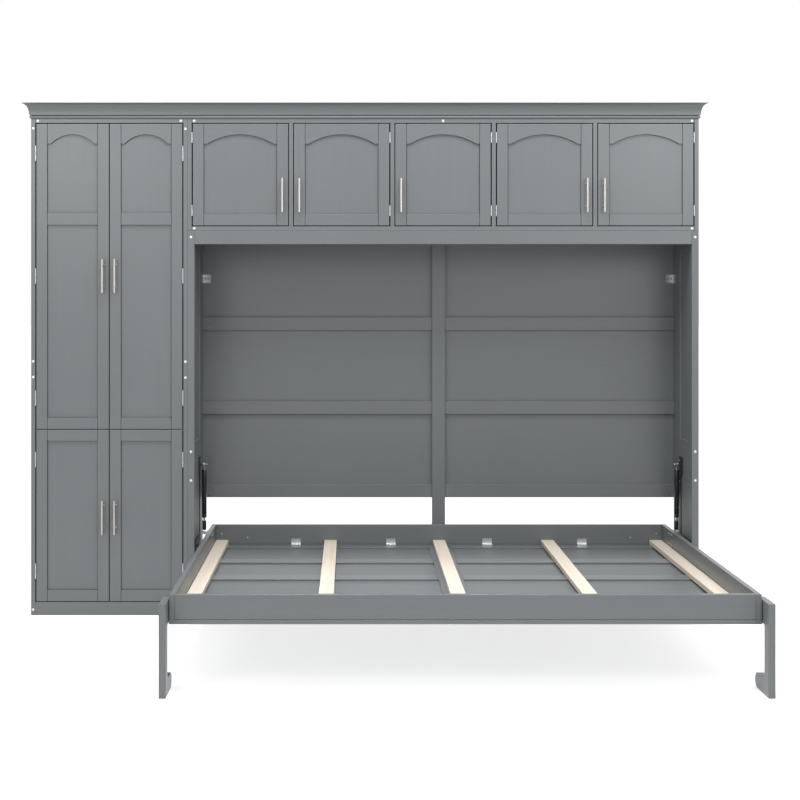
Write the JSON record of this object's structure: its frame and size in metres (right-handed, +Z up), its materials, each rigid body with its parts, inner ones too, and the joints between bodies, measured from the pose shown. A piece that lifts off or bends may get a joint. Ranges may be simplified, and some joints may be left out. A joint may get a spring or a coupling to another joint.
{
  "type": "murphy wall bed",
  "caption": "Grey wall unit with a closet tower, overhead cupboards and a sideways queen bed that tilts down on folding legs, helped by gas springs.",
  "frame": {"origin": "on the floor, under the centre of the whole object's box with the bed open", "axes": "+X along the wall to the viewer's right, +Y towards the wall, +Z up"},
  "size_m": [2.999, 1.701, 2.245],
  "materials": {
    "grey_paint": "satin grey paint on wood and board",
    "pine": "bare pale pine",
    "brushed_steel": "brushed satin nickel",
    "black_steel": "black powder coat",
    "spring_cylinder": "gloss black paint",
    "spring_rod": "bright plated steel"
  },
  "bodies": {
    "cabinet": {"tower_left_side": "grey_paint", "tower_right_side": "grey_paint", "tower_top": "grey_paint", "tower_base": "grey_paint", "tower_back": "grey_paint", "tower_middle_shelf": "grey_paint", "tower_upper_shelf": "grey_paint", "overhead_left_side": "grey_paint", "overhead_right_side": "grey_paint", "overhead_top": "grey_paint", "overhead_bottom": "grey_paint", "overhead_back": "grey_paint", "overhead_divider_1": "grey_paint", "overhead_divider_2": "grey_paint", "overhead_divider_3": "grey_paint", "overhead_divider_4": "grey_paint", "bed_cabinet_left_side": "grey_paint", "bed_cabinet_right_side": "grey_paint", "header_rail": "grey_paint", "back_panel": "grey_paint", "back_frame": "grey_paint", "cornice": "grey_paint", "wall_plate_left": "black_steel", "wall_plate_right": "black_steel"},
    "bed": {"bed_left_rail": "grey_paint", "bed_right_rail": "grey_paint", "bed_front_rail": "grey_paint", "bed_rear_rail": "grey_paint", "bed_face_board": "grey_paint", "slat_1": "pine", "slat_2": "pine", "slat_3": "pine", "slat_4": "pine", "slat_5": "pine", "pivot_plate_left": "black_steel", "pivot_plate_right": "black_steel"},
    "left_leg": {"left_leg": "grey_paint"},
    "left_spring_cylinder": {"gas_spring_cylinder_left": "spring_cylinder"},
    "left_spring_rod": {"gas_spring_rod_left": "spring_rod"},
    "right_leg": {"right_leg": "grey_paint"},
    "right_spring_cylinder": {"gas_spring_cylinder_right": "spring_cylinder"},
    "right_spring_rod": {"gas_spring_rod_right": "spring_rod"},
    "tower_upper_left_door": {"tower_upper_left_door": "grey_paint", "tower_upper_left_handle": "brushed_steel"},
    "tower_lower_left_door": {"tower_lower_left_door": "grey_paint", "tower_lower_left_handle": "brushed_steel"},
    "tower_upper_right_door": {"tower_upper_right_door": "grey_paint", "tower_upper_right_handle": "brushed_steel"},
    "tower_lower_right_door": {"tower_lower_right_door": "grey_paint", "tower_lower_right_handle": "brushed_steel"},
    "overhead_door_1": {"overhead_door_1": "grey_paint", "overhead_handle_1": "brushed_steel"},
    "overhead_door_2": {"overhead_door_2": "grey_paint", "overhead_handle_2": "brushed_steel"},
    "overhead_door_3": {"overhead_door_3": "grey_paint", "overhead_handle_3": "brushed_steel"},
    "overhead_door_4": {"overhead_door_4": "grey_paint", "overhead_handle_4": "brushed_steel"},
    "overhead_door_5": {"overhead_door_5": "grey_paint", "overhead_handle_5": "brushed_steel"}
  },
  "joints": [
    {"name": "bed_tilt", "type": "hinge", "parent": "cabinet", "child": "bed", "pos_m": [0.34315, 0.5435, 0.296], "axis": [-1, 0, 0], "range_deg": [0, 90]},
    {"name": "left_leg_fold", "type": "hinge", "parent": "bed", "child": "left_leg", "pos_m": [-0.71785, -0.7205, 0.288], "axis": [-1, 0, 0], "range_deg": [-90, 0]},
    {"name": "left_spring_swing", "type": "hinge", "parent": "cabinet", "child": "left_spring_cylinder", "pos_m": [-0.7242, 0.6755, 0.639], "axis": [-1, 0, 0], "range_deg": [0, 12.9]},
    {"name": "left_spring_stroke", "type": "slide", "parent": "left_spring_cylinder", "child": "left_spring_rod", "axis": [0, 0.0328, -0.9995], "range_m": [0, 0.189]},
    {"name": "right_leg_fold", "type": "hinge", "parent": "bed", "child": "right_leg", "pos_m": [1.40415, -0.7205, 0.288], "axis": [-1, 0, 0], "range_deg": [-90, 0]},
    {"name": "right_spring_swing", "type": "hinge", "parent": "cabinet", "child": "right_spring_cylinder", "pos_m": [1.4105, 0.6755, 0.639], "axis": [-1, 0, 0], "range_deg": [0, 12.9]},
    {"name": "right_spring_stroke", "type": "slide", "parent": "right_spring_cylinder", "child": "right_spring_rod", "axis": [0, 0.0328, -0.9995], "range_m": [0, 0.189]},
    {"name": "tower_upper_left_door_swing", "type": "hinge", "parent": "cabinet", "child": "tower_upper_left_door", "pos_m": [-1.44475, 0.4825, 1.48675], "axis": [0, 0, -1], "range_deg": [0, 110]},
    {"name": "tower_lower_left_door_swing", "type": "hinge", "parent": "cabinet", "child": "tower_lower_left_door", "pos_m": [-1.44475, 0.4825, 0.4375], "axis": [0, 0, -1], "range_deg": [0, 110]},
    {"name": "tower_upper_right_door_swing", "type": "hinge", "parent": "cabinet", "child": "tower_upper_right_door", "pos_m": [-0.79825, 0.4825, 1.48675], "axis": [0, 0, 1], "range_deg": [0, 90]},
    {"name": "tower_lower_right_door_swing", "type": "hinge", "parent": "cabinet", "child": "tower_lower_right_door", "pos_m": [-0.79825, 0.4825, 0.4375], "axis": [0, 0, 1], "range_deg": [0, 90]},
    {"name": "overhead_door_1_swing", "type": "hinge", "parent": "cabinet", "child": "overhead_door_1", "pos_m": [-0.75845, 0.4825, 1.93325], "axis": [0, 0, -1], "range_deg": [0, 85]},
    {"name": "overhead_door_2_swing", "type": "hinge", "parent": "cabinet", "child": "overhead_door_2", "pos_m": [0.10993, 0.4825, 1.93325], "axis": [0, 0, 1], "range_deg": [0, 85]},
    {"name": "overhead_door_3_swing", "type": "hinge", "parent": "cabinet", "child": "overhead_door_3", "pos_m": [0.55487, 0.4825, 1.93325], "axis": [0, 0, 1], "range_deg": [0, 85]},
    {"name": "overhead_door_4_swing", "type": "hinge", "parent": "cabinet", "child": "overhead_door_4", "pos_m": [0.57637, 0.4825, 1.93325], "axis": [0, 0, -1], "range_deg": [0, 85]},
    {"name": "overhead_door_5_swing", "type": "hinge", "parent": "cabinet", "child": "overhead_door_5", "pos_m": [1.44475, 0.4825, 1.93325], "axis": [0, 0, 1], "range_deg": [0, 85]}
  ],
  "couplings": [
    {"joint": "left_leg_fold", "follows": "bed_tilt", "ratio": -1},
    {"joint": "left_spring_swing", "follows": "bed_tilt", "ratio": 0.14274},
    {"joint": "left_spring_stroke", "follows": "bed_tilt", "m_per_rad": 0.12023},
    {"joint": "right_leg_fold", "follows": "bed_tilt", "ratio": -1},
    {"joint": "right_spring_swing", "follows": "bed_tilt", "ratio": 0.14274},
    {"joint": "right_spring_stroke", "follows": "bed_tilt", "m_per_rad": 0.12023}
  ]
}
